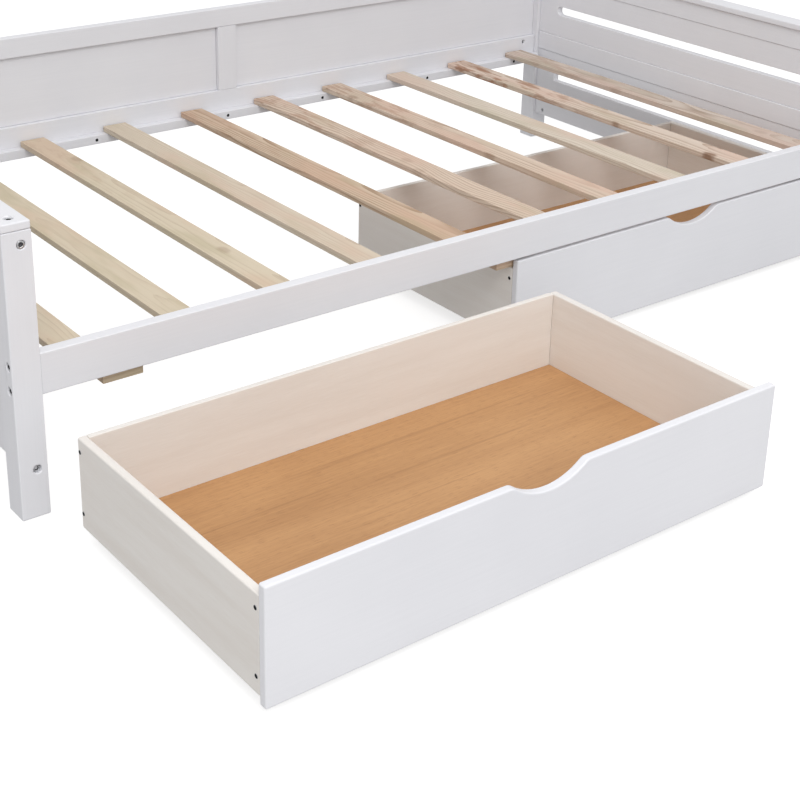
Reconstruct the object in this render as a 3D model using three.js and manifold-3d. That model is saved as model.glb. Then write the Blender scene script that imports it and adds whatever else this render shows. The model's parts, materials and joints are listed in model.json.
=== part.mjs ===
// Twin daybed frame with two roll-out storage drawers.
// Millimetres, +Z up, the front looks along -Y. The left drawer is pulled out, the right one is closed.
// The origin is on the floor, under the centre of the whole object's box.
import * as THREE from 'three';
import { mergeVertices } from 'three/addons/utils/BufferGeometryUtils.js';
import Module from 'manifold-3d';

const wasm = await Module();
wasm.setup();

// ---- driving dimensions ----
const CLEARANCE = 0.3; // gap kept between touching pieces

const BED_LENGTH = 2012; // over the posts, along X
const BED_DEPTH = 1066; // over the posts, along Y
const POST = 47; // square section of a post
const POST_TOP = 475; // the cap boards lie on this level
const CAP_THICKNESS = 14;

const RAIL_THICKNESS = 22; // rails of the two ends and of the back
const PANEL_THICKNESS = 18; // end panels
const END_INSET = 30; // from a post's outer face to the middle of the end's boards
const END_TOP_RAIL_LOW = 432;
const END_MID_RAIL = [250.5, 297];
const END_PANEL_FOOT = 70;
const SLOT_SIDE_MARGIN = 66; // from a post to either end of a slot
const UPPER_SLOT = [353, 376];
const UPPER_SLOT_CORNER = 11; // nearly half its height, so its ends are round
const LOWER_SLOT = [174, 205];
const LOWER_SLOT_CORNER = 3;

const BACK_FACE = 1027; // front plane of the back's frame
const BACK_TOP = 477;
const BACK_TOP_RAIL_LOW = 434;
const BACK_BOTTOM_RAIL = [216, 284.5];
const BACK_STILE_WIDTH = 48;
const BACK_PANEL_THICKNESS = 6;
const BACK_PANEL_SETBACK = 10;

const FRONT_RAIL_FACE = 2; // setback of the front rail from the posts' front faces
const FRONT_RAIL_THICKNESS = 21;
const FRONT_RAIL = [205, 274];
const CLEAT_WIDTH = 20;
const CLEAT_HEIGHT = 20;
const FRONT_CLEAT_MARGIN = 64; // from a post to either end of the front cleat
const BACK_CLEAT_MARGIN = 1;

const SLAT_COUNT = 10;
const SLAT_WIDTH = 55;
const SLAT_THICKNESS = 12.5;
const SLAT_PITCH = 196.5;
const SLAT_FIRST = 44; // from the left posts to the first slat
const SLAT_SEAT = 239; // underside of the slats
const SLAT_ENDS = [25, 1024];

const BLOCK_WIDTH = 71;
const BLOCK_DEPTH = 40;
const BLOCK_LOW = 181.5;
const BLOCK_OFFSET = 812; // from the middle block to either outer one

const DRAWER_SIDE_GAP = 2.5; // between a drawer front and a post
const DRAWER_MIDDLE_GAP = 2; // between the two drawer fronts
const DRAWER_FRONT_THICKNESS = 15;
const DRAWER_FRONT = [14.2, 198.6];
const DRAWER_CLOSED_FACE = 4.4;
const DRAWER_TRAVEL = 614.4;
const BOX_LENGTH = 492.4; // the box behind the drawer front
const BOX_HEIGHTS = [25.3, 178.7];
const BOX_EDGE_INSET = 1; // the box is this much narrower than its front at each end
const BOX_SIDE_THICKNESS = 14;
const BOX_END_THICKNESS = 15;
const BOX_BACK_THICKNESS = 10.5;
const BOX_FLOOR = [33.7, 37.7];

const NOTCH_WIDTH = 140; // the finger notch is one arc, this wide at the drawer front's top edge
const NOTCH_DEPTH = 25.5;
const NOTCH_SHOULDER = 7; // length of the soft corner at each end of the arc
const NOTCH_RELIEF = 20; // how far the inner board's notch stays back from the arc

const WHEEL_RADIUS = 15;
const WHEEL_WIDTH = 13;
const WHEEL_EDGE_ROUND = 2;
const AXLE_RADIUS = 3;
const WHEEL_SETBACK = 75; // from either end of the box to a wheel's axle
const RUNNER_INSET = 95; // from the box's outer side to the middle of a runner
const RUNNER_WIDTH = 36;
const RUNNER_LOW = 9;
const RUNNER_END_MARGIN = 25;
const WHEEL_POCKET = [17, 36]; // width and length of the opening around a wheel
const AXLE_LENGTH = 32;

const BOLT_HOLE_RADIUS = 7;
const BOLT_HOLE_DEPTH = 8;
const NUT_HOLE_RADIUS = 5;
const NUT_HOLE_DEPTH = 14;
const END_NUT_SETBACK = 29; // from a post to a barrel nut in an end board
const RAIL_NUT_SETBACK = 40; // from a post to a barrel nut in a long rail
const END_BOLT_HEIGHTS = [83, 453];
const FRONT_RAIL_BOLT_HEIGHTS = [219.6, 260.1];
const BACK_RAIL_BOLT_HEIGHTS = [262, 455];
const BACK_LOW_NUT_HEIGHT = 271;

// ---- how finely curves are divided ----
const HOLE_SIDES = 20;
const AXLE_SIDES = 16;
const WHEEL_SIDES = 24;
const SLOT_CORNER_STEPS = 5;
const NOTCH_STEPS = 8;

// ---- materials ----
function finish(color, roughness, metalness = 0) {
  return new THREE.MeshStandardMaterial({ color, roughness, metalness });
}
const whitePaint = finish(0xe2e2e6, 0.45);
const slatPine = finish(0xd8bd98, 0.7);
const boxBoard = finish(0xdccfbe, 0.6);
const printedBoard = finish(0xc79a66, 0.5);
const rawPine = finish(0xcfa878, 0.75);
const wheelPlastic = finish(0x3a3a3c, 0.5);

// ---- solids ----
function toSolid(geometry) {
  const bare = geometry.clone();
  bare.deleteAttribute('normal');
  bare.deleteAttribute('uv');
  const merged = mergeVertices(bare, 1e-4);
  const vertProperties = new Float32Array(merged.attributes.position.array);
  const triVerts = new Uint32Array(merged.index.array);
  return new wasm.Manifold(new wasm.Mesh({ numProp: 3, vertProperties, triVerts }));
}

function toGeometry(solid) {
  const mesh = solid.getMesh();
  const geometry = new THREE.BufferGeometry();
  geometry.setAttribute('position', new THREE.BufferAttribute(mesh.vertProperties, 3));
  geometry.setIndex(new THREE.BufferAttribute(mesh.triVerts, 1));
  geometry.computeVertexNormals();
  return geometry;
}

function cut(geometry, tools) {
  if (tools.length === 0) return geometry;
  return toGeometry(tools.reduce((solid, tool) => solid.subtract(toSolid(tool)), toSolid(geometry)));
}

function join(geometry, additions) {
  return toGeometry(additions.reduce((solid, extra) => solid.add(toSolid(extra)), toSolid(geometry)));
}

// A block between two corners, each side given as [low, high].
function block(x, y, z) {
  const geometry = new THREE.BoxGeometry(x[1] - x[0], y[1] - y[0], z[1] - z[0]);
  return geometry.translate((x[0] + x[1]) / 2, (y[0] + y[1]) / 2, (z[0] + z[1]) / 2);
}

// A cylinder whose middle is at the point given, lying along one axis.
function rod(axis, radius, length, x, y, z, sides = HOLE_SIDES) {
  const geometry = new THREE.CylinderGeometry(radius, radius, length, sides);
  if (axis === 'x') geometry.rotateZ(Math.PI / 2);
  if (axis === 'z') geometry.rotateX(Math.PI / 2);
  return geometry.translate(x, y, z);
}

// A long hole along Y through an end panel, with fully or slightly rounded ends.
function slotTool(y, z, radius, x) {
  const shape = new THREE.Shape();
  const corners = [
    [y[0], z[0], Math.PI],
    [y[1], z[0], 1.5 * Math.PI],
    [y[1], z[1], 0],
    [y[0], z[1], Math.PI / 2],
  ];
  for (const [cornerY, cornerZ, start] of corners) {
    const centreY = cornerY === y[0] ? y[0] + radius : y[1] - radius;
    const centreZ = cornerZ === z[0] ? z[0] + radius : z[1] - radius;
    shape.absarc(centreY, centreZ, radius, start, start + Math.PI / 2, false);
  }
  const depth = PANEL_THICKNESS * 2;
  const options = { depth, bevelEnabled: false, curveSegments: SLOT_CORNER_STEPS };
  const geometry = new THREE.ExtrudeGeometry(shape, options);
  // the drawing's axes become Y and Z, and its depth runs along X
  const turn = new THREE.Matrix4().makeBasis(
    new THREE.Vector3(0, 1, 0),
    new THREE.Vector3(0, 0, 1),
    new THREE.Vector3(1, 0, 0),
  );
  return geometry.applyMatrix4(turn).translate(x - depth / 2, 0, 0);
}

// Names a piece and puts the geometry's middle at the mesh's own position.
function piece(parent, name, material, geometry) {
  geometry.computeBoundingBox();
  const middle = geometry.boundingBox.getCenter(new THREE.Vector3());
  const mesh = new THREE.Mesh(geometry.translate(-middle.x, -middle.y, -middle.z), material);
  mesh.name = name;
  mesh.position.copy(middle);
  parent.add(mesh);
  return mesh;
}

// ---- places worked out from the dimensions ----
const HALF_LENGTH = BED_LENGTH / 2;
const POST_INNER_X = HALF_LENGTH - POST;
const END_MIDDLE_X = HALF_LENGTH - END_INSET;
const BETWEEN_POSTS_X = [-POST_INNER_X + CLEARANCE, POST_INNER_X - CLEARANCE];
const BETWEEN_POSTS_Y = [POST + CLEARANCE, BED_DEPTH - POST - CLEARANCE];
const FRONT_RAIL_BACK = FRONT_RAIL_FACE + FRONT_RAIL_THICKNESS;
const CLEAT_TOP = SLAT_SEAT - CLEARANCE;
const SIDES = [['left', -1], ['right', 1]];
const DEPTHS = [['front', POST / 2, 0], ['back', BED_DEPTH - POST / 2, BED_DEPTH]];

// ---- bed frame ----
function addPosts(frame) {
  const railBoltDepth = {
    front: FRONT_RAIL_FACE + FRONT_RAIL_THICKNESS / 2,
    back: BACK_FACE + RAIL_THICKNESS / 2,
  };
  const railBoltHeights = { front: FRONT_RAIL_BOLT_HEIGHTS, back: BACK_RAIL_BOLT_HEIGHTS };
  for (const [sideName, side] of SIDES) {
    for (const [depthName, middleY, faceY] of DEPTHS) {
      const middleX = side * (HALF_LENGTH - POST / 2);
      const body = block(
        [middleX - POST / 2, middleX + POST / 2],
        [middleY - POST / 2, middleY + POST / 2],
        [0, POST_TOP],
      );
      const endBolts = END_BOLT_HEIGHTS.map((height) => (
        rod('y', BOLT_HOLE_RADIUS, BOLT_HOLE_DEPTH * 2, side * END_MIDDLE_X, faceY, height)
      ));
      const railBolts = railBoltHeights[depthName].map((height) => (
        rod('x', BOLT_HOLE_RADIUS, BOLT_HOLE_DEPTH * 2, side * HALF_LENGTH, railBoltDepth[depthName], height)
      ));
      piece(frame, `post_${depthName}_${sideName}`, whitePaint, cut(body, [...endBolts, ...railBolts]));
    }
  }
}

function addCaps(frame) {
  for (const [sideName, side] of SIDES) {
    const middleX = side * (HALF_LENGTH - POST / 2);
    const board = block(
      [middleX - POST / 2, middleX + POST / 2],
      [0, BED_DEPTH],
      [POST_TOP + CLEARANCE, POST_TOP + CAP_THICKNESS],
    );
    const holes = DEPTHS.map(([, middleY]) => (
      rod('z', BOLT_HOLE_RADIUS, BOLT_HOLE_DEPTH * 2, middleX, middleY, POST_TOP + CAP_THICKNESS)
    ));
    piece(frame, `cap_${sideName}`, whitePaint, cut(board, holes));
  }
}

// Barrel-nut holes in the inner face of an end board, one near each post.
function endNutHoles(innerX, height) {
  return [POST + END_NUT_SETBACK, BED_DEPTH - POST - END_NUT_SETBACK].map((y) => (
    rod('x', NUT_HOLE_RADIUS, NUT_HOLE_DEPTH * 2, innerX, y, height)
  ));
}

function addEnds(frame) {
  const slotY = [POST + SLOT_SIDE_MARGIN, BED_DEPTH - POST - SLOT_SIDE_MARGIN];
  for (const [sideName, side] of SIDES) {
    const middleX = side * END_MIDDLE_X;
    const across = (thickness) => [middleX - thickness / 2, middleX + thickness / 2];
    const railInnerX = middleX - side * RAIL_THICKNESS / 2;
    const panelInnerX = middleX - side * PANEL_THICKNESS / 2;
    const [lowBolt, highBolt] = END_BOLT_HEIGHTS;

    const topRailHeights = [END_TOP_RAIL_LOW, POST_TOP - CLEARANCE];
    const topRail = block(across(RAIL_THICKNESS), BETWEEN_POSTS_Y, topRailHeights);
    piece(frame, `end_top_rail_${sideName}`, whitePaint, cut(topRail, endNutHoles(railInnerX, highBolt)));

    const upperHeights = [END_MID_RAIL[1] + CLEARANCE, END_TOP_RAIL_LOW - CLEARANCE];
    const upperPanel = block(across(PANEL_THICKNESS), BETWEEN_POSTS_Y, upperHeights);
    const upperSlot = slotTool(slotY, UPPER_SLOT, UPPER_SLOT_CORNER, middleX);
    piece(frame, `end_upper_panel_${sideName}`, whitePaint, cut(upperPanel, [upperSlot]));

    const midRail = block(across(RAIL_THICKNESS), BETWEEN_POSTS_Y, END_MID_RAIL);
    piece(frame, `end_mid_rail_${sideName}`, whitePaint, midRail);

    const lowerHeights = [END_PANEL_FOOT, END_MID_RAIL[0] - CLEARANCE];
    const lowerPanel = block(across(PANEL_THICKNESS), BETWEEN_POSTS_Y, lowerHeights);
    const lowerSlot = slotTool(slotY, LOWER_SLOT, LOWER_SLOT_CORNER, middleX);
    const lowerCuts = [lowerSlot, ...endNutHoles(panelInnerX, lowBolt)];
    piece(frame, `end_lower_panel_${sideName}`, whitePaint, cut(lowerPanel, lowerCuts));
  }
}

// Barrel-nut holes in one face of a long rail, one near each post.
function railNutHoles(faceY, heights) {
  const holesBeside = ([, side]) => heights.map((height) => (
    rod('y', NUT_HOLE_RADIUS, NUT_HOLE_DEPTH * 2, side * (POST_INNER_X - RAIL_NUT_SETBACK), faceY, height)
  ));
  return SIDES.flatMap(holesBeside);
}

function addBack(frame) {
  const rails = [BACK_FACE, BACK_FACE + RAIL_THICKNESS];
  const highBolt = BACK_RAIL_BOLT_HEIGHTS[1];

  const topRail = block(BETWEEN_POSTS_X, rails, [BACK_TOP_RAIL_LOW, BACK_TOP]);
  const topNuts = railNutHoles(BACK_FACE + RAIL_THICKNESS, [highBolt]);
  piece(frame, 'back_top_rail', whitePaint, cut(topRail, topNuts));

  const bottomRail = block(BETWEEN_POSTS_X, rails, BACK_BOTTOM_RAIL);
  const lowNuts = railNutHoles(BACK_FACE, [BACK_LOW_NUT_HEIGHT]);
  piece(frame, 'back_bottom_rail', whitePaint, cut(bottomRail, lowNuts));

  const between = [BACK_BOTTOM_RAIL[1] + CLEARANCE, BACK_TOP_RAIL_LOW - CLEARANCE];
  const halfStile = BACK_STILE_WIDTH / 2;
  piece(frame, 'back_middle_stile', whitePaint, block([-halfStile, halfStile], rails, between));

  const panelY = [BACK_FACE + BACK_PANEL_SETBACK, BACK_FACE + BACK_PANEL_SETBACK + BACK_PANEL_THICKNESS];
  const outer = BETWEEN_POSTS_X[1];
  const inner = halfStile + CLEARANCE;
  piece(frame, 'back_panel_left', whitePaint, block([-outer, -inner], panelY, between));
  piece(frame, 'back_panel_right', whitePaint, block([inner, outer], panelY, between));
}

function addFrontRail(frame) {
  const rail = block(BETWEEN_POSTS_X, [FRONT_RAIL_FACE, FRONT_RAIL_BACK], FRONT_RAIL);
  const holes = railNutHoles(FRONT_RAIL_BACK, FRONT_RAIL_BOLT_HEIGHTS);
  piece(frame, 'front_rail', whitePaint, cut(rail, holes));
}

function addCleats(frame) {
  const frontReach = POST_INNER_X - FRONT_CLEAT_MARGIN;
  const backReach = POST_INNER_X - BACK_CLEAT_MARGIN;
  const heights = [CLEAT_TOP - CLEAT_HEIGHT, CLEAT_TOP];
  const frontY = [FRONT_RAIL_BACK + CLEARANCE, FRONT_RAIL_BACK + CLEARANCE + CLEAT_WIDTH];
  const backY = [BACK_FACE - CLEARANCE - CLEAT_WIDTH, BACK_FACE - CLEARANCE];
  piece(frame, 'slat_cleat_front', whitePaint, block([-frontReach, frontReach], frontY, heights));
  piece(frame, 'slat_cleat_back', whitePaint, block([-backReach, backReach], backY, heights));
}

function addBlocks(frame) {
  const depth = [FRONT_RAIL_BACK + CLEARANCE, FRONT_RAIL_BACK + CLEARANCE + BLOCK_DEPTH];
  const heights = [BLOCK_LOW, CLEAT_TOP - CLEAT_HEIGHT - CLEARANCE];
  for (const [name, x] of [['left', -BLOCK_OFFSET], ['middle', 0], ['right', BLOCK_OFFSET]]) {
    const body = block([x - BLOCK_WIDTH / 2, x + BLOCK_WIDTH / 2], depth, heights);
    piece(frame, `guide_block_${name}`, rawPine, body);
  }
}

function addSlats(frame) {
  for (let index = 0; index < SLAT_COUNT; index += 1) {
    const left = -POST_INNER_X + SLAT_FIRST + SLAT_PITCH * index;
    const body = block([left, left + SLAT_WIDTH], SLAT_ENDS, [SLAT_SEAT, SLAT_SEAT + SLAT_THICKNESS]);
    piece(frame, `slat_${String(index + 1).padStart(2, '0')}`, slatPine, body);
  }
}

// ---- drawers: drawn closed, about their own middle, with the front face at y = 0 ----
const DRAWER_WIDTH = (2 * POST_INNER_X - 2 * DRAWER_SIDE_GAP - DRAWER_MIDDLE_GAP) / 2;
const DRAWER_MIDDLE_X = (DRAWER_WIDTH + DRAWER_MIDDLE_GAP) / 2;
const BOX_HALF_WIDTH = DRAWER_WIDTH / 2 - BOX_EDGE_INSET;
const BOX_START_Y = DRAWER_FRONT_THICKNESS + CLEARANCE;
const BOX_END_Y = DRAWER_FRONT_THICKNESS + BOX_LENGTH;

// The finger notch is an arc about a point above the drawer front.
const NOTCH_RADIUS = ((NOTCH_WIDTH / 2) ** 2 + NOTCH_DEPTH ** 2) / (2 * NOTCH_DEPTH);
const NOTCH_CENTRE = DRAWER_FRONT[1] - NOTCH_DEPTH + NOTCH_RADIUS;

// An upright board that runs back from y = start, with an arc of this radius cut into its top edge.
function notchedBoard(half, [low, high], radius, start, depth) {
  const tip = Math.sqrt(radius ** 2 - (NOTCH_CENTRE - high) ** 2);
  const reach = Math.asin(tip / radius); // half the angle of the whole arc
  const eased = reach - NOTCH_SHOULDER / radius; // half the angle left between the shoulders
  const down = 1.5 * Math.PI;
  const shape = new THREE.Shape();
  shape.moveTo(-half, low);
  shape.lineTo(half, low);
  shape.lineTo(half, high);
  shape.lineTo(tip + NOTCH_SHOULDER, high);
  shape.quadraticCurveTo(tip, high, radius * Math.sin(eased), NOTCH_CENTRE - radius * Math.cos(eased));
  shape.absarc(0, NOTCH_CENTRE, radius, down + eased, down - eased, true);
  shape.quadraticCurveTo(-tip, high, -tip - NOTCH_SHOULDER, high);
  shape.lineTo(-half, high);
  const options = { depth, bevelEnabled: false, curveSegments: NOTCH_STEPS };
  const board = new THREE.ExtrudeGeometry(shape, options);
  // the drawing stands upright and its depth runs back
  return board.rotateX(Math.PI / 2).translate(0, start + depth, 0);
}

function addDrawerFront(drawer, name) {
  const board = notchedBoard(DRAWER_WIDTH / 2, DRAWER_FRONT, NOTCH_RADIUS, 0, DRAWER_FRONT_THICKNESS);
  piece(drawer, `${name}_drawer_front`, whitePaint, board);
}

function addDrawerBox(drawer, name) {
  const insideHalf = BOX_HALF_WIDTH - BOX_SIDE_THICKNESS;
  const inside = [-insideHalf + CLEARANCE, insideHalf - CLEARANCE];
  for (const [sideName, side] of SIDES) {
    const edges = [side * BOX_HALF_WIDTH, side * insideHalf].sort((a, b) => a - b);
    const wall = block(edges, [BOX_START_Y, BOX_END_Y], BOX_HEIGHTS);
    piece(drawer, `${name}_drawer_side_${sideName}`, boxBoard, wall);
  }
  const innerRadius = NOTCH_RADIUS + NOTCH_RELIEF;
  const innerFront = notchedBoard(inside[1], BOX_HEIGHTS, innerRadius, BOX_START_Y, BOX_END_THICKNESS);
  const backY = [BOX_END_Y - BOX_BACK_THICKNESS, BOX_END_Y];
  piece(drawer, `${name}_drawer_inner_front`, boxBoard, innerFront);
  piece(drawer, `${name}_drawer_back`, boxBoard, block(inside, backY, BOX_HEIGHTS));
  const floorY = [BOX_START_Y + BOX_END_THICKNESS + CLEARANCE, backY[0] - CLEARANCE];
  piece(drawer, `${name}_drawer_bottom`, printedBoard, block(inside, floorY, BOX_FLOOR));
}

// A wheel on its side: a disc with rounded rims and a bore for the axle.
function wheelGeometry() {
  const half = WHEEL_WIDTH / 2;
  const bore = AXLE_RADIUS + CLEARANCE;
  const profile = [
    [bore, -half],
    [WHEEL_RADIUS - WHEEL_EDGE_ROUND, -half],
    [WHEEL_RADIUS, -half + WHEEL_EDGE_ROUND],
    [WHEEL_RADIUS, half - WHEEL_EDGE_ROUND],
    [WHEEL_RADIUS - WHEEL_EDGE_ROUND, half],
    [bore, half],
    [bore, -half],
  ].map(([radius, along]) => new THREE.Vector2(radius, along));
  return new THREE.LatheGeometry(profile, WHEEL_SIDES).rotateZ(Math.PI / 2);
}

function addRunners(drawer, name) {
  const length = [
    BOX_START_Y + BOX_END_THICKNESS + RUNNER_END_MARGIN,
    BOX_END_Y - BOX_BACK_THICKNESS - RUNNER_END_MARGIN,
  ];
  const axles = [['front', BOX_START_Y + WHEEL_SETBACK], ['back', BOX_END_Y - WHEEL_SETBACK]];
  const around = (middle, size) => [middle - size / 2, middle + size / 2];
  const [pocketWidth, pocketLength] = WHEEL_POCKET;
  const pocketHeights = [0, BOX_HEIGHTS[1]]; // well past the batten, above and below
  for (const [sideName, side] of SIDES) {
    const x = side * (BOX_HALF_WIDTH - RUNNER_INSET);
    const batten = block(around(x, RUNNER_WIDTH), length, [RUNNER_LOW, BOX_FLOOR[0] - CLEARANCE]);
    const pockets = axles.map(([, y]) => (
      block(around(x, pocketWidth), around(y, pocketLength), pocketHeights)
    ));
    const pins = axles.map(([, y]) => rod('x', AXLE_RADIUS, AXLE_LENGTH, x, y, WHEEL_RADIUS, AXLE_SIDES));
    piece(drawer, `${name}_drawer_runner_${sideName}`, rawPine, join(cut(batten, pockets), pins));
    for (const [axleName, y] of axles) {
      const wheel = toGeometry(toSolid(wheelGeometry())).translate(x, y, WHEEL_RADIUS);
      piece(drawer, `${name}_drawer_wheel_${axleName}_${sideName}`, wheelPlastic, wheel);
    }
  }
}

function makeDrawer(name, x, faceY) {
  const drawer = new THREE.Group();
  addDrawerFront(drawer, name);
  addDrawerBox(drawer, name);
  addRunners(drawer, name);
  drawer.position.set(x, faceY, 0);
  return drawer;
}

// ---- the whole daybed ----
const frame = new THREE.Group();
addPosts(frame);
addCaps(frame);
addEnds(frame);
addBack(frame);
addFrontRail(frame);
addCleats(frame);
addBlocks(frame);
addSlats(frame);

const PULLED_OUT_FACE = DRAWER_CLOSED_FACE - DRAWER_TRAVEL;
const daybed = new THREE.Group();
daybed.add(frame);
daybed.add(makeDrawer('left', -DRAWER_MIDDLE_X, PULLED_OUT_FACE));
daybed.add(makeDrawer('right', DRAWER_MIDDLE_X, DRAWER_CLOSED_FACE));
daybed.position.y = -(PULLED_OUT_FACE + BED_DEPTH) / 2;

export default daybed;
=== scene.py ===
"""A white twin daybed with a slatted base and two roll-out drawers, the left one pulled out."""
import json
import math
import random

import bmesh
import bpy
from mathutils import Euler, Matrix, Vector


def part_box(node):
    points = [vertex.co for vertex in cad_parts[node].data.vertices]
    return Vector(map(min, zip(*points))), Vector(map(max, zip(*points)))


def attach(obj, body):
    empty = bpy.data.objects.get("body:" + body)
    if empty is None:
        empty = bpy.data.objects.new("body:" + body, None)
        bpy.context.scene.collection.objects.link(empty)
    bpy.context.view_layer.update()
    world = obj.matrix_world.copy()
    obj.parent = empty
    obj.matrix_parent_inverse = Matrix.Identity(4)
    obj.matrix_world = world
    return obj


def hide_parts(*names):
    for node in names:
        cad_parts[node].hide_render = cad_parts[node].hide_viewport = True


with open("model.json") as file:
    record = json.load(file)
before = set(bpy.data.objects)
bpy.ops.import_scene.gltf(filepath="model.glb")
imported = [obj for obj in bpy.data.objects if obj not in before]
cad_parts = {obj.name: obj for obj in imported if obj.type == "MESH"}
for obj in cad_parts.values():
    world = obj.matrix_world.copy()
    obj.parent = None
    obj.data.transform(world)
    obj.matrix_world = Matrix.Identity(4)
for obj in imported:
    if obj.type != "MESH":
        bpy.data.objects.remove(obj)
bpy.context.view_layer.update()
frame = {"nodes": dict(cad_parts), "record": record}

MM = 0.001
SEED = 41
random_draw = random.Random(SEED)

# ---------------------------------------------------------------- camera, light and floor
CAMERA_PLACE = (-1.82, -2.1984, 1.2944)
CAMERA_TURN = (68.126, -1.267, -37.45)  # degrees
CAMERA_LENS = 69.778
CAMERA_SHIFT = -0.19

WORLD_LIGHT = 0.75
TOP_LIGHT = {"place": (0.2, -0.9, 4.2), "target": (0, 0, 0.2), "size": 3.5, "power": 14}
FRONT_LIGHT = {
    "place": (-1.9, -4.0, 4.0),
    "target": (-0.4, -1.8, 0),
    "size": 3.5,
    "power": 59,
    "spread": 110,  # degrees
}
FLOOR_SIZE = 400.0
FLOOR_DROP = 0.5 * MM
FLOOR_GREY = 0.4
FLOOR_ROUGHNESS = 0.9
FLOOR_GLOW = 0.75  # what the camera sees
FLOOR_BOUNCE = 0.1  # what the pieces receive

# ---------------------------------------------------------------- colours and grain
PAINT_LOW = (0.768, 0.768, 0.802)
PAINT_HIGH = (0.808, 0.808, 0.84)
STAIN_LIGHT = (0.83, 0.80, 0.765)
STAIN_DARK = (0.765, 0.72, 0.675)
STAIN_PINK = (0.82, 0.765, 0.72)
PRINT_LIGHT = (0.58, 0.318, 0.138)
PRINT_DARK = (0.39, 0.19, 0.072)
PRINT_PORE = (0.30, 0.14, 0.05)
PRESSED_LIGHT = (0.27, 0.165, 0.095)
PRESSED_DARK = (0.20, 0.115, 0.065)
PINE_LIGHT = (0.685, 0.585, 0.48)
PINE_DARK = (0.42, 0.31, 0.225)
PINE_PINK = (0.66, 0.495, 0.395)
PINE_OLIVE = (0.54, 0.465, 0.34)
RED_FIGURE = (0.36, 0.185, 0.11)
PINE_KNOT = (0.23, 0.115, 0.06)
SAWN_LIGHT = (0.70, 0.55, 0.40)
SAWN_DARK = (0.46, 0.32, 0.21)
SAWN_PINK = (0.70, 0.47, 0.35)
SAWN_OLIVE = (0.55, 0.46, 0.31)
STEEL = (0.72, 0.73, 0.75)
# painted shade: near-black steel for screw recesses and nut slots, standing in for the shade in these
# hollows
RECESS_PAINTED_SHADE = (0.030, 0.030, 0.034)
# painted shade: dark steel for the walls and floor of a bolt's hexagonal socket
SOCKET_PAINTED_SHADE = (0.17, 0.17, 0.18)
PLASTIC_DARK = (0.018, 0.018, 0.02)
PLASTIC_LIGHT = (0.035, 0.035, 0.038)
# Each slat's tint, strength of ring figure, strength of knots and of red figure towards the back.
SLAT_LOOKS = {
    "slat_01": ((0.97, 0.98, 0.91), 0.25, 0.0, 0.0),
    "slat_02": ((0.96, 0.97, 0.90), 0.2, 0.0, 0.0),
    "slat_03": ((0.97, 0.98, 0.91), 0.25, 0.3, 0.15),
    "slat_04": ((0.97, 0.98, 0.95), 0.3, 0.0, 0.0),
    "slat_05": ((0.91, 0.83, 0.75), 0.7, 0.0, 0.25),
    "slat_06": ((1.00, 0.95, 0.93), 0.6, 0.2, 0.45),
    "slat_07": ((1.00, 0.95, 0.93), 0.5, 0.4, 0.45),
    "slat_08": ((1.02, 1.05, 1.07), 0.4, 0.0, 0.0),
    "slat_09": ((1.04, 1.02, 1.04), 0.6, 0.8, 0.9),
    "slat_10": ((0.96, 0.97, 1.02), 0.5, 0.2, 0.3),
}

# Noise scales per metre, as (across, along, through) the board: the larger, the finer.
PAINT_GRAIN = (260.0, 6.0, 260.0)
PAINT_CLOUD = 3.0
PAINT_PEEL = 420.0
RING_BEND = (3.0, 1.6, 3.0)
RING_RUFFLE = (60.0, 5.0, 60.0)
KNOT_SPREAD = (1.0, 0.55, 0.0)
KNOT_SCALE = 7.0
WOOD_FIBRE = (1100.0, 22.0, 1100.0)
WOOD_STREAK = (170.0, 5.0, 170.0)
WOOD_BLUSH = (13.0, 3.2, 13.0)
WOOD_STAIN = (21.0, 4.4, 21.0)
WOOD_FIGURE = (60.0, 14.0, 60.0)
BOARD_FIGURE = (42.0, 3.0, 42.0)
BOARD_FIBRE = (900.0, 30.0, 900.0)
BOARD_CLOUD = 5.0
PRINT_CLOUD = 2.6
PRINT_BAND = (14.0, 0.9, 0.0)
PRINT_STREAK = (260.0, 9.0, 0.0)
PRINT_VEIN = (95.0, 1.1, 0.0)
PRINT_PORE_GRAIN = (900.0, 45.0, 0.0)
PRESSED_FLECK = 240.0
METAL_SCRATCH = 2500.0
METAL_TONE = 300.0
PLASTIC_SPECK = 1500.0

RING_SPACING = 4.5 * MM
SAWN_SEED = 3
SAWN_HEART = (0.02, -0.03)  # the tree's middle, across and through the board

# ---------------------------------------------------------------- softened edges
SHARP_EDGE = math.radians(35)
EDGE_SOFTNESS = {  # how far an edge is rounded, by the first matching word of the node's name
    "post": 2.2 * MM,
    "cap": 2.6 * MM,
    "drawer_front": 3.0 * MM,
    "drawer_side": 2.8 * MM,
    "drawer_back": 1.8 * MM,
    "drawer_inner": 1.5 * MM,
    "drawer_bottom": 0.4 * MM,
    "drawer_runner": 0.6 * MM,
    "drawer_wheel": 0.6 * MM,
    "slat_cleat": 1.5 * MM,
    "slat": 1.4 * MM,
    "guide_block": 0.8 * MM,
    "panel": 1.2 * MM,
    "rail": 2.0 * MM,
    "stile": 1.2 * MM,
}

# ---------------------------------------------------------------- hardware sizes
TURNED_SIDES = 48
FRAME = "bed_frame"
END_INSET = 30 * MM  # from a post's outer face to its front and back bolts
END_BOLTS = ((83 * MM, 4.5 * MM), (453 * MM, 1.2 * MM))  # height and how deep the head sits
RAIL_BOLTS = {"front": (219.6 * MM, 260.1 * MM), "back": (262 * MM, 455 * MM)}  # heights
END_NUT = 29 * MM  # from a post to a nut in an end board
RAIL_NUT = 40 * MM  # from a post to a nut in a long rail
BACK_LOW_NUT = 271 * MM  # height
CLEAT_SCREWS = (-0.66, -0.351, -0.014, 0.253, 0.577, 0.87)  # along X
BLOCK_SCREWS = (0.25, 0.75)  # shares of a guide block's length
BOX_SCREWS = (  # setback from the drawer front's face, and height
    (23 * MM, 156.7 * MM),
    (23 * MM, 53.3 * MM),
    (500.4 * MM, 156.6 * MM),
    (500.4 * MM, 52 * MM),
)
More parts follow.
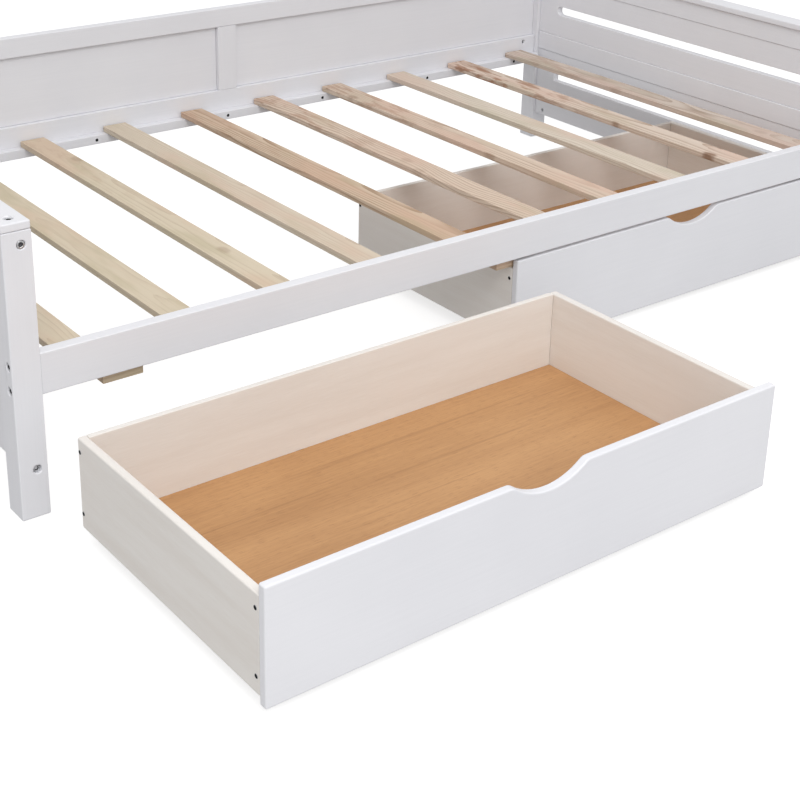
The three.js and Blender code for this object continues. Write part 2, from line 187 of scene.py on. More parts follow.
RUNNER_SCREWS = (165 * MM, 262 * MM, 360 * MM)  # setback from the drawer front's face
RAIL_BOLT_SUNK = 1.6 * MM
CAP_BOLT_SUNK = 2.2 * MM
NUT_SUNK = 3.0 * MM
BOLT_RADIUS = 6.6 * MM
BOLT_SOCKET = 4.0 * MM
NUT_RADIUS = 4.7 * MM
NUT_SLOT = (3.9 * MM, 0.75 * MM)  # half its length and half its width
SCREW_RADIUS = 3.8 * MM
SCREW_RECESS = (2.1 * MM, 0.85 * MM)  # radius along the arms and between them
AXLE_RADIUS = 3.15 * MM
AXLE_REACH = 8.4 * MM
WASHER_RADIUS = 4.9 * MM
WHEEL_BORE = 3.3 * MM
WHEEL_RIBS = 6
RIB_HALF_THICKNESS = 0.55 * MM
BOX_FACES = (  # corners counted in fours along the first axis, twos along the second
    (0, 1, 3, 2),
    (4, 6, 7, 5),
    (0, 4, 5, 1),
    (2, 3, 7, 6),
    (0, 2, 6, 4),
    (1, 5, 7, 3),
)
SCREW_TURN = 1.5  # the largest turn of a screw's recess, in radians


def make_camera():
    """Looks down on the bed from its front left, with the left drawer nearest."""
    data = bpy.data.cameras.new("camera")
    data.sensor_width = 36.0
    data.lens = CAMERA_LENS
    data.shift_y = CAMERA_SHIFT
    data.clip_end = 200.0
    camera = bpy.data.objects.new("camera", data)
    camera.location = CAMERA_PLACE
    camera.rotation_euler = Euler([math.radians(a) for a in CAMERA_TURN], "XYZ")
    bpy.context.scene.collection.objects.link(camera)
    bpy.context.scene.camera = camera


def add_area_light(name, place, target, size, power, spread=180):
    """A round soft light at a place, turned to a target, its spread in degrees."""
    data = bpy.data.lights.new(name, "AREA")
    data.shape = "DISK"
    data.size = size
    data.energy = power
    data.spread = math.radians(spread)
    light = bpy.data.objects.new(name, data)
    light.location = place
    light.rotation_euler = (Vector(target) - Vector(place)).to_track_quat("-Z", "Y").to_euler()
    bpy.context.scene.collection.objects.link(light)


def make_world():
    """An even, soft studio light from all round, in front of a white background."""
    world = bpy.data.worlds.new("studio")
    world.use_nodes = True
    tree = world.node_tree
    light = tree.nodes["Background"]
    light.inputs["Color"].default_value = (1.0, 1.0, 1.0, 1.0)
    light.inputs["Strength"].default_value = WORLD_LIGHT
    backdrop = tree.nodes.new("ShaderNodeBackground")
    backdrop.inputs["Color"].default_value = (1.0, 1.0, 1.0, 1.0)
    path = tree.nodes.new("ShaderNodeLightPath")
    either = tree.nodes.new("ShaderNodeMixShader")
    tree.links.new(path.outputs["Is Camera Ray"], either.inputs[0])
    tree.links.new(light.outputs[0], either.inputs[1])
    tree.links.new(backdrop.outputs[0], either.inputs[2])
    tree.links.new(either.outputs[0], tree.nodes["World Output"].inputs["Surface"])
    bpy.context.scene.world = world
    bpy.context.scene.view_settings.view_transform = "Standard"


def make_floor():
    """A pale floor that looks white to the camera and throws little light back on the pieces."""
    bpy.ops.mesh.primitive_plane_add(size=FLOOR_SIZE, location=(0, 0, -FLOOR_DROP))
    floor = bpy.context.object
    floor.name = "studio_floor"
    material = bpy.data.materials.new("studio_floor")
    material.use_nodes = True
    tree = material.node_tree
    shader = tree.nodes["Principled BSDF"]
    path = tree.nodes.new("ShaderNodeLightPath")
    glow = tree.nodes.new("ShaderNodeMapRange")
    glow.inputs["To Min"].default_value = FLOOR_BOUNCE
    glow.inputs["To Max"].default_value = FLOOR_GLOW
    tree.links.new(path.outputs["Is Camera Ray"], glow.inputs["Value"])
    tree.links.new(glow.outputs[0], shader.inputs["Emission Strength"])
    shader.inputs["Base Color"].default_value = (FLOOR_GREY, FLOOR_GREY, FLOOR_GREY, 1.0)
    shader.inputs["Roughness"].default_value = FLOOR_ROUGHNESS
    shader.inputs["Emission Color"].default_value = (1.0, 1.0, 1.0, 1.0)
    floor.data.materials.append(material)


# ---------------------------------------------------------------- materials
class Shader:
    """A material under construction: short calls that add a node and give its output."""

    def __init__(self, name):
        self.material = bpy.data.materials.new(name)
        self.material.use_nodes = True
        self.tree = self.material.node_tree
        self.surface = self.tree.nodes["Principled BSDF"]

    def add(self, kind, inputs=None, **settings):
        node = self.tree.nodes.new(kind)
        for key, value in settings.items():
            setattr(node, key, value)
        for key, value in (inputs or {}).items():
            self.feed(node.inputs[key], value)
        return node

    def feed(self, socket, value):
        if isinstance(value, bpy.types.NodeSocket):
            self.tree.links.new(value, socket)
        elif isinstance(value, tuple) and len(value) == 3 and socket.type == "RGBA":
            socket.default_value = (*value, 1.0)
        else:
            socket.default_value = value

    def math(self, operation, first, second=0.0, third=0.0, clamp=False):
        node = self.add("ShaderNodeMath", {0: first, 1: second, 2: third}, operation=operation)
        node.use_clamp = clamp
        return node.outputs[0]

    def mix(self, factor, first, second, blend="MIX"):
        node = self.add("ShaderNodeMix", data_type="RGBA", blend_type=blend)
        self.feed(node.inputs[0], factor)
        self.feed(node.inputs[6], first)
        self.feed(node.inputs[7], second)
        return node.outputs[2]

    def ramp(self, value, low, high):
        """0 below low, 1 above high, smooth between."""
        node = self.add("ShaderNodeMapRange", {"Value": value, "From Min": low, "From Max": high})
        node.interpolation_type = "SMOOTHSTEP"
        return node.outputs[0]

    def noise(self, vector, scale, detail=3.0, roughness=0.5):
        inputs = {"Vector": vector, "Scale": scale, "Detail": detail, "Roughness": roughness}
        return self.add("ShaderNodeTexNoise", inputs).outputs["Fac"]

    def stretch(self, vector, factors, shift=(0.0, 0.0, 0.0)):
        inputs = {"Vector": vector, "Location": shift, "Scale": factors}
        return self.add("ShaderNodeMapping", inputs).outputs[0]

    def board_place(self, along):
        """The point on the piece as (across, along, through), where along is the grain's axis."""
        place = self.add("ShaderNodeTexCoord").outputs["Object"]
        parts = self.add("ShaderNodeSeparateXYZ", {0: place}).outputs
        order = {"x": (1, 0, 2), "y": (0, 1, 2), "z": (0, 2, 1)}[along]
        inputs = {i: parts[axis] for i, axis in enumerate(order)}
        return self.add("ShaderNodeCombineXYZ", inputs).outputs[0]

    def end_grain(self, along):
        """1 where the surface faces along the grain."""
        normal = self.add("ShaderNodeTexCoord").outputs["Normal"]
        part = self.add("ShaderNodeSeparateXYZ", {0: normal}).outputs["xyz".index(along)]
        return self.ramp(self.math("ABSOLUTE", part), 0.6, 0.8)

    def bump(self, height, distance, strength=1.0):
        node = self.add("ShaderNodeBump", {"Height": height, "Distance": distance, "Strength": strength})
        self.feed(self.surface.inputs["Normal"], node.outputs[0])


def white_paint(along):
    """Satin white paint: a little roller texture, and the wood's grain showing faintly through."""
    s = Shader("white_paint_" + along)
    place = s.board_place(along)
    cloud = s.noise(place, PAINT_CLOUD)
    grain = s.noise(s.stretch(place, PAINT_GRAIN), 1.0, 4.0, 0.6)
    peel = s.noise(place, PAINT_PEEL, 2.0)
    shade = s.math("ADD", s.math("MULTIPLY", cloud, 0.7), s.math("MULTIPLY", grain, 0.3))
    colour = s.mix(s.ramp(shade, 0.3, 0.7), PAINT_LOW, PAINT_HIGH)
    s.feed(s.surface.inputs["Base Color"], colour)
    rough = s.math("MULTIPLY_ADD", peel, 0.14, 0.36)
    s.feed(s.surface.inputs["Roughness"], rough)
    height = s.math("ADD", s.math("MULTIPLY", grain, 0.5), peel)
    s.bump(height, 0.08 * MM, 0.6)
    return s.material


def wood_rings(s, place, seed, spacing, heart):
    """Growth rings cut by the board's surface, 0 in early wood to 1 in a late-wood line.
    The heart is where the tree's middle runs, across and through the board."""
    bend = s.noise(s.stretch(place, RING_BEND, (seed * 3.7, seed * 1.9, 0.0)), 1.0, 2.0)
    parts = s.add("ShaderNodeSeparateXYZ", {0: place}).outputs
    sideways = s.math("MULTIPLY_ADD", s.math("SUBTRACT", bend, 0.5), 0.1, parts[0])
    deep = s.math("MULTIPLY_ADD", s.math("SUBTRACT", bend, 0.5), 0.06, parts[2])
    flat = s.add("ShaderNodeCombineXYZ", {0: sideways, 1: deep}).outputs[0]
    centre = {0: flat, 1: (*heart, 0.0)}
    offset = s.add("ShaderNodeVectorMath", centre, operation="SUBTRACT").outputs[0]
    radius = s.add("ShaderNodeVectorMath", {0: offset}, operation="LENGTH").outputs["Value"]
    ruffle = s.noise(s.stretch(place, RING_RUFFLE), 1.0, 2.0)
    turns = s.math("ADD", s.math("DIVIDE", radius, spacing), s.math("MULTIPLY", ruffle, 0.8))
    wave = s.math("FRACT", turns)
    return s.math("POWER", wave, 2.5)


def knots(s, place, seed):
    """1 inside a knot, fading at its edge."""
    flat = s.stretch(place, KNOT_SPREAD, (seed * 0.37, seed * 0.73, 0.0))
    wobble = s.noise(place, 60.0, 2.0)
    inputs = {"Vector": flat, "Scale": KNOT_SCALE}
    cells = s.add("ShaderNodeTexVoronoi", inputs, voronoi_dimensions="2D")
    distance = cells.outputs["Distance"]
    rough = s.math("MULTIPLY_ADD", wobble, 0.05, distance)
    return s.math("SUBTRACT", 1.0, s.ramp(rough, 0.06, 0.12))


def bare_wood(
    name, along, seed, heart, tones, figure=0.6, knotty=0.7, red_end=0.0, spacing=RING_SPACING
):
    """Planed softwood with growth rings, fibres, pink and olive patches and a few knots.
    The figure is how strong the rings are, and red_end how strong the red figure is at the back."""
    light, dark, pink, olive = tones
    s = Shader(name)
    place = s.board_place(along)
    rings = wood_rings(s, place, seed, spacing, heart)
    fibre = s.noise(s.stretch(place, WOOD_FIBRE), 1.0, 4.0, 0.65)
    streak = s.noise(s.stretch(place, WOOD_STREAK, (seed, 0.0, 0.0)), 1.0, 3.0, 0.6)
    blush = s.noise(s.stretch(place, WOOD_BLUSH, (seed, 0.0, 0.0)), 1.0, 3.0)
    stain = s.noise(s.stretch(place, WOOD_STAIN, (0.0, seed, 0.0)), 1.0, 3.0)
    knot = knots(s, place, seed)
    depth = s.math("MULTIPLY", rings, figure)
    depth = s.math("MULTIPLY_ADD", fibre, 0.3, depth)
    depth = s.math("MULTIPLY_ADD", streak, 0.35, depth)
    colour = s.mix(s.ramp(depth, 0.3, 0.95), light, dark)
    colour = s.mix(s.math("MULTIPLY", s.ramp(blush, 0.46, 0.66), 0.75), colour, pink)
    colour = s.mix(s.math("MULTIPLY", s.ramp(stain, 0.5, 0.68), 0.6), colour, olive)
    if red_end:
        forward = s.add("ShaderNodeSeparateXYZ", {0: place}).outputs[1]
        blotch = s.noise(s.stretch(place, WOOD_FIGURE), 1.0, 3.0, 0.6)
        figured = s.ramp(blotch, 0.48, 0.62)
        reach = s.math("MULTIPLY", s.ramp(forward, 0.1, 0.65), figured)
        colour = s.mix(s.math("MULTIPLY", reach, red_end), colour, RED_FIGURE)
    colour = s.mix(s.math("MULTIPLY", knot, knotty), colour, PINE_KNOT)
    ends = s.math("MULTIPLY", s.end_grain(along), 0.45)
    colour = s.mix(ends, colour, dark)
    s.feed(s.surface.inputs["Base Color"], colour)
    s.feed(s.surface.inputs["Roughness"], s.math("MULTIPLY_ADD", fibre, 0.2, 0.56))
    s.surface.inputs["Specular IOR Level"].default_value = 0.3
    height = s.math("ADD", s.math("MULTIPLY", fibre, 0.7), s.math("MULTIPLY", rings, 0.4))
    s.bump(height, 0.15 * MM, 0.7)
    return s.material


def washed_board(along):
    """Drawer box board under a thin cream stain."""
    s = Shader("washed_board_" + along)
    place = s.board_place(along)
    figure = s.noise(s.stretch(place, BOARD_FIGURE), 1.0, 4.0, 0.55)
    fibre = s.noise(s.stretch(place, BOARD_FIBRE), 1.0, 3.0, 0.6)
    cloud = s.noise(place, BOARD_CLOUD, 2.0)
    shade = s.math("ADD", s.math("MULTIPLY", figure, 0.6), s.math("MULTIPLY", fibre, 0.4))
    colour = s.mix(s.ramp(shade, 0.3, 0.75), STAIN_LIGHT, STAIN_DARK)
    colour = s.mix(s.math("MULTIPLY", s.ramp(cloud, 0.45, 0.7), 0.5), colour, STAIN_PINK)
    s.feed(s.surface.inputs["Base Color"], colour)
    s.feed(s.surface.inputs["Roughness"], s.math("MULTIPLY_ADD", fibre, 0.18, 0.48))
    s.bump(fibre, 0.1 * MM, 0.5)
    return s.material


def printed_board():
    """Hardboard: on top a printed grain along X, with soft bands and streaks, a few long lines and
    short pores. The face below is plain pressed board."""
    s = Shader("printed_board")
    place = s.board_place("x")
    cloud = s.noise(place, PRINT_CLOUD, 2.0)
    band = s.noise(s.stretch(place, PRINT_BAND), 1.0, 3.0, 0.5)
    streak = s.noise(s.stretch(place, PRINT_STREAK), 1.0, 4.0, 0.6)
    vein = s.noise(s.stretch(place, PRINT_VEIN), 1.0, 2.0, 0.4)
    pore = s.noise(s.stretch(place, PRINT_PORE_GRAIN), 1.0, 2.0, 0.5)
    shade = s.math("MULTIPLY", band, 0.34)
    shade = s.math("MULTIPLY_ADD", streak, 0.3, shade)
    shade = s.math("MULTIPLY_ADD", cloud, 0.36, shade)
    colour = s.mix(s.ramp(shade, 0.3, 0.72), PRINT_LIGHT, PRINT_DARK)
    colour = s.mix(s.math("MULTIPLY", s.ramp(vein, 0.62, 0.7), 0.32), colour, PRINT_PORE)
    colour = s.mix(s.math("MULTIPLY", s.ramp(pore, 0.58, 0.68), 0.5), colour, PRINT_PORE)
    normal = s.add("ShaderNodeTexCoord").outputs["Normal"]
    upward = s.add("ShaderNodeSeparateXYZ", {0: normal}).outputs[2]
    below = s.ramp(s.math("MULTIPLY", upward, -1.0), 0.4, 0.6)
    fleck = s.noise(place, PRESSED_FLECK, 4.0, 0.65)
    pressed = s.mix(s.ramp(fleck, 0.35, 0.65), PRESSED_LIGHT, PRESSED_DARK)
    colour = s.mix(below, colour, pressed)
    s.feed(s.surface.inputs["Base Color"], colour)
    s.feed(s.surface.inputs["Roughness"], s.math("MULTIPLY_ADD", below, 0.3, 0.42))
    coarse = s.math("MULTIPLY", below, fleck)
    s.bump(s.math("MULTIPLY_ADD", coarse, 3.0, pore), 0.04 * MM, 0.3)
    return s.material


def metal(name, colour, rough):
    """Plated steel with fine scratches; given a dark colour, it is the painted shade in recesses, slots
    and sockets.
    """
    s = Shader(name)
    place = s.add("ShaderNodeTexCoord").outputs["Object"]
    scratch = s.noise(place, METAL_SCRATCH, 3.0)
    tone = s.noise(place, METAL_TONE, 2.0)
    dull = tuple(c * 0.72 for c in colour)
    s.feed(s.surface.inputs["Base Color"], s.mix(tone, colour, dull))
    s.surface.inputs["Metallic"].default_value = 1.0
    s.feed(s.surface.inputs["Roughness"], s.math("MULTIPLY_ADD", scratch, 0.2, rough))
    return s.material


def moulded_plastic():
    """Dark moulded plastic with a fine speckle."""
    s = Shader("moulded_plastic")
    place = s.add("ShaderNodeTexCoord").outputs["Object"]
    speck = s.noise(place, PLASTIC_SPECK, 2.0)
    s.feed(s.surface.inputs["Base Color"], s.mix(speck, PLASTIC_DARK, PLASTIC_LIGHT))
    s.feed(s.surface.inputs["Roughness"], s.math("MULTIPLY_ADD", speck, 0.15, 0.38))
    s.bump(speck, 0.03 * MM, 0.4)
    return s.material


# ---------------------------------------------------------------- CAD nodes
def smooth_group():
    """A node group that shades every face smooth, except over edges sharper than 35 degrees."""
    group = bpy.data.node_groups.new("smooth_soft_edges", "GeometryNodeTree")
    group.interface.new_socket("Geometry", in_out="INPUT", socket_type="NodeSocketGeometry")
    group.interface.new_socket("Geometry", in_out="OUTPUT", socket_type="NodeSocketGeometry")
    start = group.nodes.new("NodeGroupInput")
    end = group.nodes.new("NodeGroupOutput")
    faces = group.nodes.new("GeometryNodeSetShadeSmooth")
    edges = group.nodes.new("GeometryNodeSetShadeSmooth")
    edges.domain = "EDGE"
    edges.inputs["Shade Smooth"].default_value = False
    angle = group.nodes.new("GeometryNodeInputMeshEdgeAngle")
    sharp = group.nodes.new("FunctionNodeCompare")
    sharp.operation = "GREATER_THAN"
    sharp.inputs[1].default_value = SHARP_EDGE
    link = group.links.new
    link(start.outputs[0], faces.inputs["Geometry"])
    link(faces.outputs[0], edges.inputs["Geometry"])
    link(angle.outputs[0], sharp.inputs[0])
    link(sharp.outputs[0], edges.inputs["Selection"])
    link(edges.outputs[0], end.inputs[0])
    return group


def soften(obj, width, group):
    """Joins the node's loose triangles into flat faces and rounds the edges between them."""
    weld = obj.modifiers.new("join_triangles", "WELD")
    weld.merge_threshold = 0.01 * MM
    flat = obj.modifiers.new("flat_faces", "DECIMATE")
    flat.decimate_type = "DISSOLVE"
    flat.angle_limit = math.radians(0.4)
    smooth = obj.modifiers.new("smooth", "NODES")
    smooth.node_group = group
    bevel = obj.modifiers.new("round_edges", "BEVEL")
    bevel.width = width
    bevel.segments = 3
    bevel.limit_method = "ANGLE"
    bevel.angle_limit = SHARP_EDGE
    bevel.use_clamp_overlap = False
    bevel.miter_outer = "MITER_ARC"
    bevel.harden_normals = True


def long_axis(node):
    """The axis along which a node is longest, and so the direction of its grain."""
    low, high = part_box(node)
    sides = list(high - low)
    return "xyz"[sides.index(max(sides))]


def dress_cad_nodes():
    """Gives every CAD node the material of its record slot, with the grain along it, and soft edges."""
    paint = {axis: white_paint(axis) for axis in "xyz"}
    washed = {axis: washed_board(axis) for axis in "xy"}
    tones = (SAWN_LIGHT, SAWN_DARK, SAWN_PINK, SAWN_OLIVE)
    sawn = {
        axis: bare_wood("sawn_pine_" + axis, axis, SAWN_SEED, SAWN_HEART, tones)
        for axis in "xy"
    }
    plastic = moulded_plastic()
    print_board = printed_board()
    group = smooth_group()
    slots = {part["node"]: part["material_slot"] for part in frame["record"]["subparts"]}
    for name, obj in frame["nodes"].items():
        axis = long_axis(name)
        kind = slots[name]
        if kind == "white_paint":
            material = paint[axis]
        elif kind == "box_board":
            material = washed[axis]
        elif kind == "raw_pine":
            material = sawn[axis]
        elif kind == "printed_board":
            material = print_board
        elif kind == "wheel_plastic":
            material = plastic
        else:
            material = slat_wood(name)
        obj.data.materials.clear()
        obj.data.materials.append(material)
        width = next(size for word, size in EDGE_SOFTNESS.items() if word in name)
        soften(obj, width, group)


def slat_wood(name):
    """Each slat is cut from its own place in the tree and has its own tint."""
    tint, figure, knotty, red_end = SLAT_LOOKS[name]
    low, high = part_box(name)
    across = (low.x + high.x) / 2 + random_draw.uniform(-0.05, 0.05)
    through = low.z - random_draw.uniform(0.01, 0.05)
    pine = (PINE_LIGHT, PINE_DARK, PINE_PINK, PINE_OLIVE)
    tones = [tuple(c * t for c, t in zip(tone, tint)) for tone in pine]
    seed = random_draw.uniform(1, 20)
    spacing = random_draw.uniform(3.5, 6.5) * MM
    heart = (across, through)
    return bare_wood("pine_" + name, "y", seed, heart, tones, figure, knotty, red_end, spacing)


# ---------------------------------------------------------------- hardware
def turned(name, rings, materials, split=None, axis_turn=None):
    """A closed mesh through rings of (radius, height), the radius a number or a function of angle.
    Faces after the ring numbered split take the second material."""
    mesh = bpy.data.meshes.new(name)
    bm = bmesh.new()
    loops = []
    for radius, height in rings:
        loop = []
        for step in range(TURNED_SIDES):
            angle = 2 * math.pi * step / TURNED_SIDES
            r = radius(angle) if callable(radius) else radius
            loop.append(bm.verts.new((r * math.cos(angle), r * math.sin(angle), height)))
        loops.append(loop)
    for index, (lower, upper) in enumerate(zip(loops, loops[1:])):
        for step in range(TURNED_SIDES):
            after = (step + 1) % TURNED_SIDES
            face = bm.faces.new((lower[step], lower[after], upper[after], upper[step]))
            face.material_index = 1 if split is not None and index >= split else 0
    bm.faces.new(list(reversed(loops[0])))
    last = bm.faces.new(loops[-1])
    last.material_index = 1 if split is not None else 0
    bm.to_mesh(mesh)
    bm.free()
    for material in materials:
        mesh.materials.append(material)
    if axis_turn:
        mesh.transform(axis_turn)
    mesh.shade_smooth()
    mesh.set_sharp_from_angle(angle=SHARP_EDGE)
    return mesh


def hexagon(size):
    """Radius of a hexagon with corners this far out."""
    side = math.pi / 3
    return lambda angle: size * math.cos(side / 2) / math.cos(angle % side - side / 2)


def cross(size, narrow):
    """Radius of a four-armed recess: size along the arms, narrow between them."""
    quarter = math.pi / 2
    arm = 1.6 * 2 * math.pi / TURNED_SIDES
    return lambda angle: size if min(angle % quarter, quarter - angle % quarter) < arm else narrow


def slit(length, width):
    """Radius of a straight slot's outline, from half its length and half its width."""

    def radius(angle):
        along = max(abs(math.cos(angle)), 1e-6)
        across = max(abs(math.sin(angle)), 1e-6)
        return min(length / along, width / across)

    return radius


def scaled(shape, factor):
    """The same outline, larger or smaller."""
    return lambda angle: shape(angle) * factor


def bolt_mesh(materials):
    """A furniture bolt's round head with a hexagonal socket, its face at height 0; the socket's walls
    and floor take a dark painted shade.
    """
    socket = hexagon(BOLT_SOCKET)
    rings = [
        (BOLT_RADIUS, -5.0 * MM),
        (BOLT_RADIUS, -0.9 * MM),
        (6.35 * MM, -0.35 * MM),
        (5.8 * MM, 0.0),
        (scaled(socket, 1.12), 0.0),
        (socket, -0.35 * MM),
        (socket, -3.4 * MM),
        (1.2 * MM, -4.3 * MM),
    ]
    return turned("bolt", rings, materials, split=5)


def nut_mesh(materials):
    """The end of a barrel nut with its screwdriver slot, its face at height 0; the slot's walls and
    floor take a near-black painted shade.
    """
    groove = slit(*NUT_SLOT)
    rings = [
        (NUT_RADIUS, -9.0 * MM),
        (NUT_RADIUS, -0.6 * MM),
        (4.2 * MM, 0.0),
        (scaled(groove, 1.05), 0.0),
        (groove, -0.2 * MM),
        (groove, -1.3 * MM),
    ]
    return turned("barrel_nut", rings, materials, split=4)


def screw_mesh(materials):
    """A countersunk cross-head screw, its rim just proud of the wood at height 0; inside the rim, the
    head's top and the cross recess take a near-black painted shade.
    """
    recess = cross(*SCREW_RECESS)
    rings = [
        (1.6 * MM, -3.2 * MM),
        (3.6 * MM, -0.4 * MM),
        (SCREW_RADIUS, 0.25 * MM),
        (3.4 * MM, 0.6 * MM),
        (scaled(recess, 1.15), 0.7 * MM),
        (recess, 0.55 * MM),
        (scaled(recess, 0.5), 0.05 * MM),
    ]
    return turned("screw", rings, materials, split=3)


def axle_mesh(materials):
    """A steel axle with a washer on either side of its wheel, along X."""
    half = [
        (AXLE_RADIUS, AXLE_REACH),
        (AXLE_RADIUS, 7.7 * MM),
        (WASHER_RADIUS, 7.6 * MM),
        (WASHER_RADIUS, 6.9 * MM),
        (AXLE_RADIUS, 6.8 * MM),
    ]
    rings = [(r, -h) for r, h in half] + [(r, h) for r, h in reversed(half)]
    return turned("axle", rings, materials, axis_turn=Matrix.Rotation(math.pi / 2, 4, "Y"))


def wheel_mesh(material, radius, width, bore):
    """A moulded wheel along X: hub, sunken web with six ribs, and a rounded tread."""
    half = width / 2
    side = [
        (bore, half - 0.4 * MM),
        (bore + 0.4 * MM, half),
        (0.38 * radius, half),
        (0.42 * radius, half - 0.4 * MM),
        (0.44 * radius, 0.28 * half),
        (0.76 * radius, 0.28 * half),
        (0.79 * radius, half - 0.8 * MM),
        (0.83 * radius, half - 0.2 * MM),
        (0.90 * radius, half - 0.2 * MM),
        (0.97 * radius, 0.72 * half),
        (radius, 0.35 * half),
    ]
    profile = side + [(r, -h) for r, h in reversed(side)]
    bm = bmesh.new()
    loops = []
    for r, along in profile:
        angles = [2 * math.pi * step / TURNED_SIDES for step in range(TURNED_SIDES)]
        loops.append([bm.verts.new((along, r * math.cos(a), r * math.sin(a))) for a in angles])
    for one, two in zip(loops, loops[1:] + loops[:1]):
        for step in range(TURNED_SIDES):
            after = (step + 1) % TURNED_SIDES
            bm.faces.new((one[step], two[step], two[after], one[after]))
    for face_side in (-1, 1):
        for rib in range(WHEEL_RIBS):
            turn = Matrix.Rotation(rib * 2 * math.pi / WHEEL_RIBS, 4, "X")
            corners = []
            for along in (0.2 * half, 0.72 * half):
                for out in (0.40 * radius, 0.80 * radius):
                    for across in (-RIB_HALF_THICKNESS, RIB_HALF_THICKNESS):
                        place = turn @ Vector((face_side * along, across, out))
                        corners.append(bm.verts.new(place))
            for quad in BOX_FACES:
                bm.faces.new([corners[i] for i in quad])
    bmesh.ops.recalc_face_normals(bm, faces=bm.faces)
    mesh = bpy.data.meshes.new("wheel")
    bm.to_mesh(mesh)
    bm.free()
    mesh.materials.append(material)
    mesh.shade_smooth()
    mesh.set_sharp_from_angle(angle=SHARP_EDGE)
    return mesh


def put(name, mesh, place, facing, body, spin):
    """Places a piece with its outer face towards facing, and lets it ride on a body."""
    obj = bpy.data.objects.new(name, mesh)
    bpy.context.scene.collection.objects.link(obj)
    turn = Vector(facing).to_track_quat("Z", "Y").to_matrix().to_4x4()
    obj.matrix_world = Matrix.Translation(place) @ turn @ Matrix.Rotation(spin, 4, "Z")
    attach(obj, body)


def add_bolts(mesh):
    """Bolt heads sunk in the posts' and the caps' holes. The lowest ones sit deepest."""
    count = 0

    def bolt(place, facing, sunk):
        nonlocal count
        count += 1
        seat = Vector(place) - Vector(facing) * sunk
        spin = random_draw.uniform(0, 1)
        put(f"bolt_{count:02d}", mesh, seat, facing, FRAME, spin)

    for side_name, side in (("left", -1), ("right", 1)):
        for depth_name, depth in (("front", -1), ("back", 1)):
            low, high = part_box(f"post_{depth_name}_{side_name}")
            outer_x = low.x if side < 0 else high.x
            face_y = low.y if depth < 0 else high.y
            for height, sunk in END_BOLTS:
                bolt((outer_x - side * END_INSET, face_y, height), (0, depth, 0), sunk)
            rail_low, rail_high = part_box("front_rail" if depth < 0 else "back_top_rail")
            for height in RAIL_BOLTS[depth_name]:
                bolt((outer_x, (rail_low.y + rail_high.y) / 2, height), (side, 0, 0), RAIL_BOLT_SUNK)
            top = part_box(f"cap_{side_name}")[1].z
            bolt(((low.x + high.x) / 2, (low.y + high.y) / 2, top), (0, 0, 1), CAP_BOLT_SUNK)


def add_nuts(mesh):
    """Barrel nuts in the inner faces of the boards, where the bolts end."""
    count = 0

    def nut(place, facing):
        nonlocal count
        count += 1
        seat = Vector(place) - Vector(facing) * NUT_SUNK
        spin = math.pi / 2
        put(f"barrel_nut_{count:02d}", mesh, seat, facing, FRAME, spin)

    front_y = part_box("post_front_left")[1].y + END_NUT
    back_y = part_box("post_back_left")[0].y - END_NUT
    for side_name, side in (("left", -1), ("right", 1)):
        for board, height in (("top_rail", END_BOLTS[1][0]), ("lower_panel", END_BOLTS[0][0])):
            low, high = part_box(f"end_{board}_{side_name}")
            inner_x = high.x if side < 0 else low.x
            for y in (front_y, back_y):
                nut((inner_x, y, height), (-side, 0, 0))
        post_low, post_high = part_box(f"post_front_{side_name}")
        x = post_high.x + RAIL_NUT if side < 0 else post_low.x - RAIL_NUT
        nut((x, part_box("back_top_rail")[1].y, RAIL_BOLTS["back"][1]), (0, 1, 0))
        nut((x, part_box("back_bottom_rail")[0].y, BACK_LOW_NUT), (0, -1, 0))
        for height in RAIL_BOLTS["front"]:
            nut((x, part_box("front_rail")[1].y, height), (0, 1, 0))


def add_cleat_screws(mesh):
    """Screws in the inner face of both slat cleats."""
    cleats = (("slat_cleat_back", (0, -1, 0), 0), ("slat_cleat_front", (0, 1, 0), 1))
    for cleat, facing, face in cleats:
        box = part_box(cleat)
        height = (box[0].z + box[1].z) / 2
        for index, x in enumerate(CLEAT_SCREWS):
            place = (x, box[face].y, height)
            spin = random_draw.uniform(0, SCREW_TURN)
            put(f"{cleat}_screw_{index + 1}", mesh, place, facing, FRAME, spin)


def add_block_screws(mesh):
    """Two screws up through each guide block."""
    for name in ("left", "middle", "right"):
        low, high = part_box(f"guide_block_{name}")
        for index, share in enumerate(BLOCK_SCREWS):
            place = (low.x + share * (high.x - low.x), (low.y + high.y) / 2, low.z)
            spin = random_draw.uniform(0, SCREW_TURN)
            screw = f"guide_block_{name}_screw_{index + 1}"
            put(screw, mesh, place, (0, 0, -1), FRAME, spin)


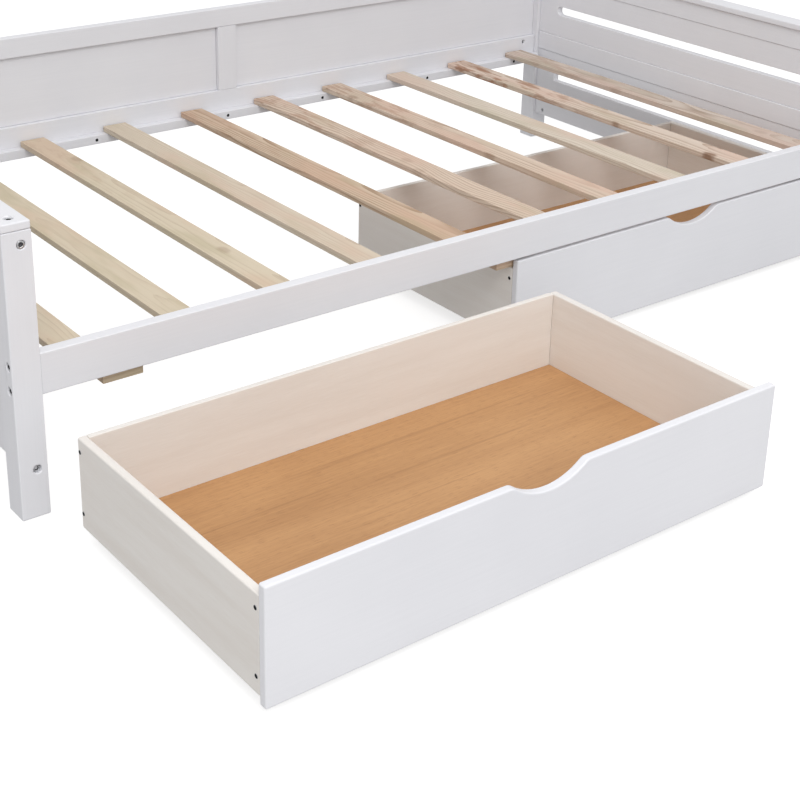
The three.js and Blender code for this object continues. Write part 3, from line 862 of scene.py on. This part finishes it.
def add_drawer_screws(mesh, drawer):
    """Two screws near each end of both sides, into the inner front and the back, and three up
    through each runner into the bottom."""
    body = drawer + "_drawer"
    face_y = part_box(drawer + "_drawer_front")[0].y
    for side_name, side in (("left", -1), ("right", 1)):
        low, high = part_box(f"{drawer}_drawer_side_{side_name}")
        x = low.x if side < 0 else high.x
        for index, (setback, height) in enumerate(BOX_SCREWS):
            name = f"{drawer}_drawer_side_{side_name}_screw_{index + 1}"
            spin = random_draw.uniform(0, SCREW_TURN)
            place = (x, face_y + setback, height)
            put(name, mesh, place, (side, 0, 0), body, spin)
        low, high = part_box(f"{drawer}_drawer_runner_{side_name}")
        for index, setback in enumerate(RUNNER_SCREWS):
            name = f"{drawer}_drawer_runner_{side_name}_screw_{index + 1}"
            place = ((low.x + high.x) / 2, face_y + setback, low.z)
            spin = random_draw.uniform(0, SCREW_TURN)
            put(name, mesh, place, (0, 0, -1), body, spin)


def add_wheels(drawer, axle, wheel):
    """An axle that rides on the drawer, and a moulded wheel that takes the plain one's place."""
    for depth in ("front", "back"):
        for side in ("left", "right"):
            node = f"{drawer}_drawer_wheel_{depth}_{side}"
            low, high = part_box(node)
            middle = (low + high) / 2
            for name, mesh, body, slot in (
                (node + "_axle", axle, drawer + "_drawer", "bolt_steel"),
                (node + "_moulding", wheel, node + "_body", "wheel_plastic"),
            ):
                obj = bpy.data.objects.new(name, mesh)
                bpy.context.scene.collection.objects.link(obj)
                obj.location = middle
                bpy.context.view_layer.update()
                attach(obj, body)
                if mesh is wheel:
                    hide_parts(node)


def add_hardware():
    """Every bolt, nut, screw, axle and wheel, from one mesh of each kind."""
    steel = metal("zinc_steel", STEEL, 0.28)
    # near-black painted shade for the recesses of the screws and the slots of the nuts
    dark = metal("recess_painted_shade", RECESS_PAINTED_SHADE, 0.6)
    # dark painted shade inside the bolts' hexagonal sockets
    socket = metal("socket_painted_shade", SOCKET_PAINTED_SHADE, 0.45)
    add_bolts(bolt_mesh((steel, socket)))
    add_nuts(nut_mesh((steel, dark)))
    screw = screw_mesh((steel, dark))
    add_cleat_screws(screw)
    add_block_screws(screw)
    low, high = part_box("left_drawer_wheel_front_left")
    axle = axle_mesh((steel,))
    wheel = wheel_mesh(moulded_plastic(), (high.z - low.z) / 2, high.x - low.x, WHEEL_BORE)
    for drawer in ("left", "right"):
        add_drawer_screws(screw, drawer)
        add_wheels(drawer, axle, wheel)


make_camera()
make_world()
make_floor()
add_area_light("top_light", **TOP_LIGHT)
add_area_light("front_light", **FRONT_LIGHT)
dress_cad_nodes()
add_hardware()
